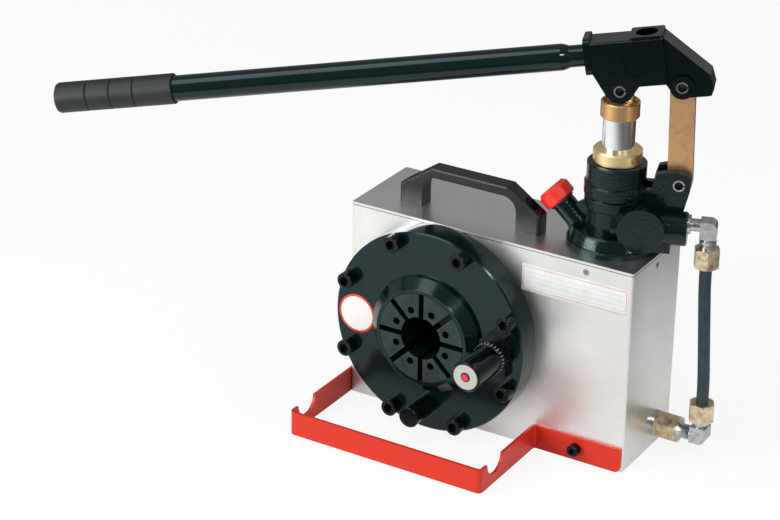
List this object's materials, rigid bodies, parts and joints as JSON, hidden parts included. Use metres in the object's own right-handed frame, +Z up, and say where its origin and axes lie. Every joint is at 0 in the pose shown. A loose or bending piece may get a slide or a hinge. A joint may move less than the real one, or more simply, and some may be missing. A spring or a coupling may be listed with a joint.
{
  "type": "manual crimping machine",
  "caption": "Bench crimping machine for hydraulic hoses: a lever-driven hand pump on a steel oil tank closes a ring of dies.",
  "frame": {"origin": "centre of the tank's underside, on the surface it stands on", "axes": "+X to the pump end, -Y out of the die face, +Z up"},
  "size_m": [0.6748, 0.2686, 0.4572],
  "materials": {
    "tank_steel": "brushed stainless sheet",
    "black_enamel": "glossy black enamel",
    "black_casting": "black enamel on a casting",
    "black_tube": "glossy black enamel",
    "black_rubber": "moulded black rubber",
    "black_plastic": "moulded black nylon",
    "dial_face": "turned disc with a red button",
    "black_oxide": "black oxide steel",
    "red_enamel": "red enamel on bent strip",
    "red_plastic": "moulded red plastic",
    "yellow_zinc": "yellow zinc plate",
    "chromed_steel": "ground chrome",
    "bright_zinc": "bright zinc plate",
    "spring_steel": "bright rolled spring steel",
    "machined_steel": "machined steel",
    "hose_rubber": "smooth dark hose cover",
    "gasket_rubber": "black rubber"
  },
  "bodies": {
    "machine": {"tank_body": "tank_steel", "tank_lid": "tank_steel", "front_cover": "black_enamel", "head_cylinder": "black_enamel", "pump_body": "black_casting", "carry_handle": "black_plastic", "head_screws": "black_oxide", "adjuster_base": "black_oxide", "return_cap": "black_oxide", "bracket_screws": "black_oxide", "handle_screws": "black_oxide", "lid_screws": "black_oxide", "support_bracket": "red_enamel", "gland_nut": "yellow_zinc", "upper_hose_nut": "yellow_zinc", "lower_hose_nut": "yellow_zinc", "wall_nut": "yellow_zinc", "upper_elbow": "bright_zinc", "lower_elbow": "bright_zinc", "wall_ring": "bright_zinc", "bulkhead_stem": "bright_zinc", "port_washer": "bright_zinc", "head_nuts": "bright_zinc", "handle_nuts": "bright_zinc", "bulkhead_inner_nut": "bright_zinc", "lug_pin": "spring_steel", "rear_tube": "machined_steel", "pump_lock_ring": "machined_steel", "pressure_pipe": "machined_steel", "suction_pipe": "machined_steel", "suction_strainer": "machined_steel", "pressure_hose": "hose_rubber", "filler_gasket": "gasket_rubber"},
    "ring_piston": {"ring_piston": "machined_steel", "piston_seals": "black_rubber", "return_plunger": "machined_steel"},
    "thimble": {"adjuster_thimble": "black_oxide", "adjuster_dial": "dial_face"},
    "stop_spindle": {"stop_spindle": "machined_steel"},
    "filler_cap": {"filler_cap": "red_plastic"},
    "ram": {"pump_ram": "chromed_steel", "ram_collar": "yellow_zinc"},
    "link": {"link_bar": "yellow_zinc"},
    "lever": {"lever_head": "black_casting", "lever_tube": "black_tube", "lever_grip": "black_rubber", "ram_pin": "spring_steel", "lever_link_pin": "spring_steel"},
    "die_1": {"die_1": "black_oxide"},
    "die_2": {"die_2": "black_oxide"},
    "die_3": {"die_3": "black_oxide"},
    "die_4": {"die_4": "black_oxide"},
    "die_5": {"die_5": "black_oxide"},
    "die_6": {"die_6": "black_oxide"},
    "die_7": {"die_7": "black_oxide"},
    "die_8": {"die_8": "black_oxide"}
  },
  "joints": [
    {"name": "piston_stroke", "type": "slide", "parent": "machine", "child": "ring_piston", "axis": [0, -1, 0], "range_m": [0, 0.028], "stiffness_N_per_m": 500, "springref_m": -0.02},
    {"name": "dial_turn", "type": "hinge", "parent": "machine", "child": "thimble", "pos_m": [0.029, -0.13, 0.113], "axis": [0, -1, 0], "range_deg": [0, 1800]},
    {"name": "stop_travel", "type": "slide", "parent": "machine", "child": "stop_spindle", "axis": [0, 1, 0], "range_m": [0, 0.0093]},
    {"name": "cap_turn", "type": "hinge", "parent": "machine", "child": "filler_cap", "pos_m": [0.05458, -0.00153, 0.26065], "axis": [-0.7268, -0.07, 0.6833], "range_deg": [0, 720]},
    {"name": "link_swing", "type": "hinge", "parent": "machine", "child": "link", "pos_m": [0.17214, 0.02589, 0.3005], "axis": [0.342, -0.9397, 0], "range_deg": [-2.1, 3.3]},
    {"name": "lever_swing", "type": "hinge", "parent": "link", "child": "lever", "pos_m": [0.16911, 0.02479, 0.40508], "axis": [0.342, -0.9397, 0], "range_deg": [-13, 21]},
    {"name": "ram_stroke", "type": "slide", "parent": "machine", "child": "ram", "axis": [0, 0, 1], "range_m": [-0.0255, 0.0158]},
    {"name": "die_1_close", "type": "slide", "parent": "machine", "child": "die_1", "axis": [-0.9239, 0, -0.3827], "range_m": [0, 0.0076]},
    {"name": "die_2_close", "type": "slide", "parent": "machine", "child": "die_2", "axis": [-0.3827, 0, -0.9239], "range_m": [0, 0.0076]},
    {"name": "die_3_close", "type": "slide", "parent": "machine", "child": "die_3", "axis": [0.3827, 0, -0.9239], "range_m": [0, 0.0076]},
    {"name": "die_4_close", "type": "slide", "parent": "machine", "child": "die_4", "axis": [0.9239, 0, -0.3827], "range_m": [0, 0.0076]},
    {"name": "die_5_close", "type": "slide", "parent": "machine", "child": "die_5", "axis": [0.9239, 0, 0.3827], "range_m": [0, 0.0076]},
    {"name": "die_6_close", "type": "slide", "parent": "machine", "child": "die_6", "axis": [0.3827, 0, 0.9239], "range_m": [0, 0.0076]},
    {"name": "die_7_close", "type": "slide", "parent": "machine", "child": "die_7", "axis": [-0.3827, 0, 0.9239], "range_m": [0, 0.0076]},
    {"name": "die_8_close", "type": "slide", "parent": "machine", "child": "die_8", "axis": [-0.9239, 0, 0.3827], "range_m": [0, 0.0076]}
  ],
  "couplings": [
    {"joint": "stop_travel", "follows": "dial_turn", "m_per_rad": 0.00029603},
    {"joint": "link_swing", "follows": "lever_swing", "ratio": 0.155},
    {"joint": "ram_stroke", "follows": "lever_swing", "m_per_rad": -0.0685},
    {"joint": "die_1_close", "follows": "piston_stroke", "ratio": 0.26795},
    {"joint": "die_2_close", "follows": "piston_stroke", "ratio": 0.26795},
    {"joint": "die_3_close", "follows": "piston_stroke", "ratio": 0.26795},
    {"joint": "die_4_close", "follows": "piston_stroke", "ratio": 0.26795},
    {"joint": "die_5_close", "follows": "piston_stroke", "ratio": 0.26795},
    {"joint": "die_6_close", "follows": "piston_stroke", "ratio": 0.26795},
    {"joint": "die_7_close", "follows": "piston_stroke", "ratio": 0.26795},
    {"joint": "die_8_close", "follows": "piston_stroke", "ratio": 0.26795}
  ]
}
